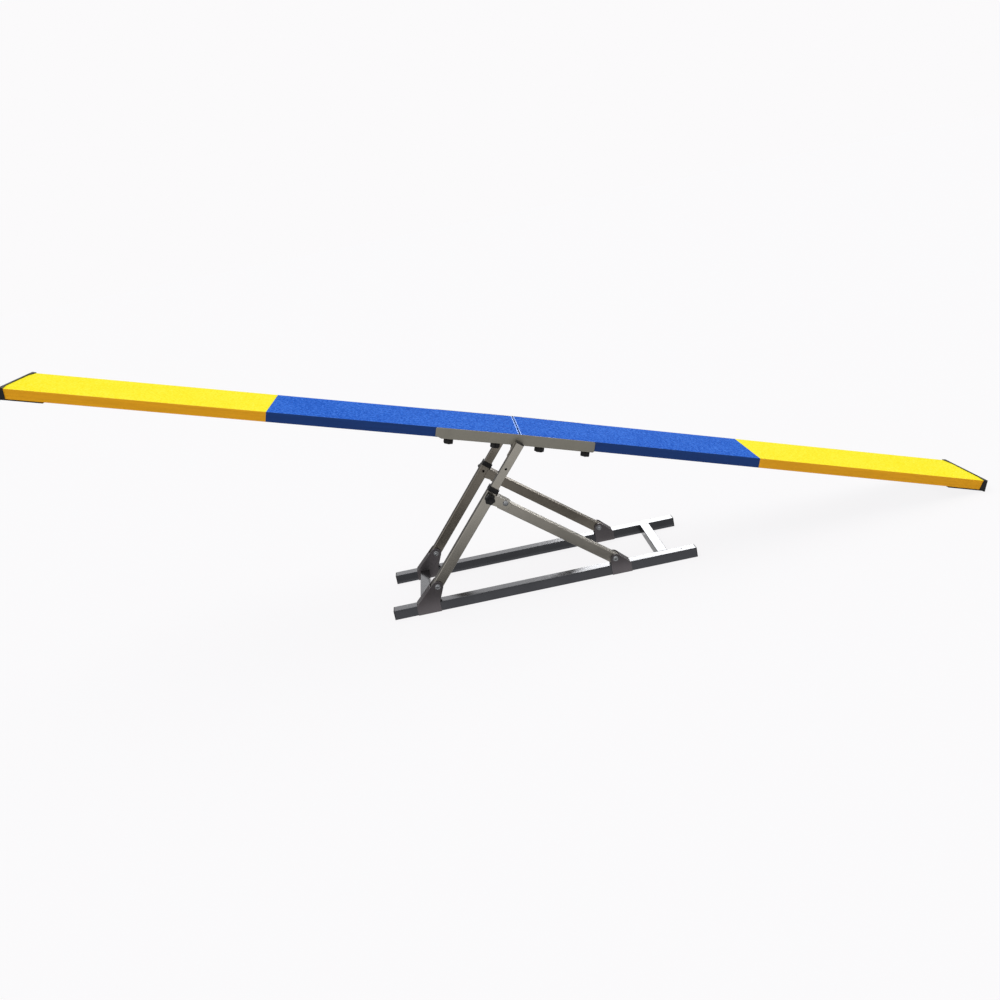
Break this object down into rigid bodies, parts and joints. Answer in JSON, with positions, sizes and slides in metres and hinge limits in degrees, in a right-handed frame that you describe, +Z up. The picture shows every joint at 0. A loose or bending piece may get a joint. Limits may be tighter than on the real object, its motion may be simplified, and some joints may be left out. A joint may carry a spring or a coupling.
{
  "type": "agility seesaw",
  "caption": "Dog agility seesaw: a long two-part plank with blue decks and yellow contact zones, tilting on a braced, height-adjustable aluminium stand.",
  "frame": {"origin": "on the ground, under the middle of the whole object's box", "axes": "+Z up, +X along the plank towards the end that rests on the ground, -Y the side with the clamp knobs in view"},
  "size_m": [3.5026, 0.4562, 1.1492],
  "materials": {
    "leg_metal": "satin, warm grey",
    "rail_metal": "satin, cool grey",
    "mill_metal": "mill",
    "bright_steel": "bright plated",
    "black_plastic": "moulded, matt",
    "black_rubber": "matt",
    "blue_coat": "granular non-slip rubber",
    "yellow_coat": "granular non-slip rubber"
  },
  "bodies": {
    "base": {"rail_front": "rail_metal", "rail_rear": "rail_metal", "rail_cap_front_left": "black_plastic", "rail_cap_front_right": "black_plastic", "rail_cap_rear_left": "black_plastic", "rail_cap_rear_right": "black_plastic", "crossbar_left": "rail_metal", "crossbar_right": "rail_metal", "foot_bracket_front": "rail_metal", "foot_bracket_rear": "rail_metal", "brace_foot_bracket_front": "rail_metal", "brace_foot_bracket_rear": "rail_metal", "foot_bolt_front": "bright_steel", "foot_bolt_rear": "bright_steel", "brace_foot_bolt_front": "bright_steel", "brace_foot_bolt_rear": "bright_steel", "brace_top_bolt_front": "bright_steel", "brace_top_bolt_rear": "bright_steel", "outer_leg_front": "leg_metal", "outer_leg_rear": "leg_metal", "leg_collar_front": "black_plastic", "leg_collar_rear": "black_plastic", "brace_bracket_front": "leg_metal", "brace_bracket_rear": "leg_metal", "brace_front": "leg_metal", "brace_rear": "leg_metal"},
    "lock_front": {"lock_knob_front": "black_plastic"},
    "lock_rear": {"lock_knob_rear": "black_plastic"},
    "upper_legs": {"inner_leg_front": "leg_metal", "inner_leg_rear": "leg_metal", "inner_leg_plug_front": "black_plastic", "inner_leg_plug_rear": "black_plastic", "axle_plate_front": "leg_metal", "axle_plate_rear": "leg_metal"},
    "axle": {"axle_rod": "bright_steel", "axle_ring_front": "bright_steel", "axle_ring_rear": "bright_steel"},
    "plank": {"tray": "leg_metal", "pivot_lug_front": "leg_metal", "pivot_lug_rear": "leg_metal", "plank_core_left": "mill_metal", "plank_core_right": "mill_metal", "seam_strip_left": "mill_metal", "seam_strip_right": "mill_metal", "deck_coat_left": "blue_coat", "deck_coat_right": "blue_coat", "contact_coat_left": "yellow_coat", "contact_coat_right": "yellow_coat", "end_cap_left": "black_plastic", "end_cap_right": "black_plastic", "end_pad_left": "black_rubber", "end_pad_right": "black_rubber"},
    "clamp_front_1": {"clamp_knob_front_1": "black_plastic"},
    "clamp_front_2": {"clamp_knob_front_2": "black_plastic"},
    "clamp_front_3": {"clamp_knob_front_3": "black_plastic"},
    "clamp_front_4": {"clamp_knob_front_4": "black_plastic"},
    "clamp_rear_1": {"clamp_knob_rear_1": "black_plastic"},
    "clamp_rear_2": {"clamp_knob_rear_2": "black_plastic"},
    "clamp_rear_3": {"clamp_knob_rear_3": "black_plastic"},
    "clamp_rear_4": {"clamp_knob_rear_4": "black_plastic"}
  },
  "joints": [
    {"name": "height", "type": "slide", "parent": "base", "child": "upper_legs", "axis": [0.6513, 0, 0.7588], "range_m": [-0.122, 0]},
    {"name": "axle_turn", "type": "hinge", "parent": "upper_legs", "child": "axle", "pos_m": [-0.02159, 0, 0.5495], "axis": [0, 1, 0], "range_deg": [-3, 0]},
    {"name": "plank_tilt", "type": "hinge", "parent": "axle", "child": "plank", "pos_m": [-0.02159, 0, 0.5495], "axis": [0, -1, 0], "range_deg": [0, 35.43]},
    {"name": "lock_front_pull", "type": "slide", "parent": "base", "child": "lock_front", "axis": [0, -1, 0], "range_m": [0, 0.008], "stiffness_N_per_m": 400, "springref_m": -0.01},
    {"name": "lock_rear_pull", "type": "slide", "parent": "base", "child": "lock_rear", "axis": [0, 1, 0], "range_m": [0, 0.008], "stiffness_N_per_m": 400, "springref_m": -0.01},
    {"name": "clamp_front_1_turn", "type": "hinge", "parent": "plank", "child": "clamp_front_1", "pos_m": [-0.24866, -0.115, 0.64064], "axis": [0.3022, 0, 0.9533], "continuous": true},
    {"name": "clamp_front_2_turn", "type": "hinge", "parent": "plank", "child": "clamp_front_2", "pos_m": [-0.0825, -0.115, 0.58899], "axis": [0.3022, 0, 0.9533], "continuous": true},
    {"name": "clamp_front_3_turn", "type": "hinge", "parent": "plank", "child": "clamp_front_3", "pos_m": [0.07574, -0.115, 0.53883], "axis": [0.3022, 0, 0.9533], "continuous": true},
    {"name": "clamp_front_4_turn", "type": "hinge", "parent": "plank", "child": "clamp_front_4", "pos_m": [0.24131, -0.115, 0.48532], "axis": [0.3022, 0, 0.9533], "continuous": true},
    {"name": "clamp_rear_1_turn", "type": "hinge", "parent": "plank", "child": "clamp_rear_1", "pos_m": [-0.24866, 0.115, 0.64064], "axis": [0.3022, 0, 0.9533], "continuous": true},
    {"name": "clamp_rear_2_turn", "type": "hinge", "parent": "plank", "child": "clamp_rear_2", "pos_m": [-0.0825, 0.115, 0.58899], "axis": [0.3022, 0, 0.9533], "continuous": true},
    {"name": "clamp_rear_3_turn", "type": "hinge", "parent": "plank", "child": "clamp_rear_3", "pos_m": [0.07574, 0.115, 0.53883], "axis": [0.3022, 0, 0.9533], "continuous": true},
    {"name": "clamp_rear_4_turn", "type": "hinge", "parent": "plank", "child": "clamp_rear_4", "pos_m": [0.24131, 0.115, 0.48532], "axis": [0.3022, 0, 0.9533], "continuous": true}
  ],
  "couplings": [
    {"joint": "axle_turn", "follows": "height", "rad_per_m": 0.42803}
  ]
}
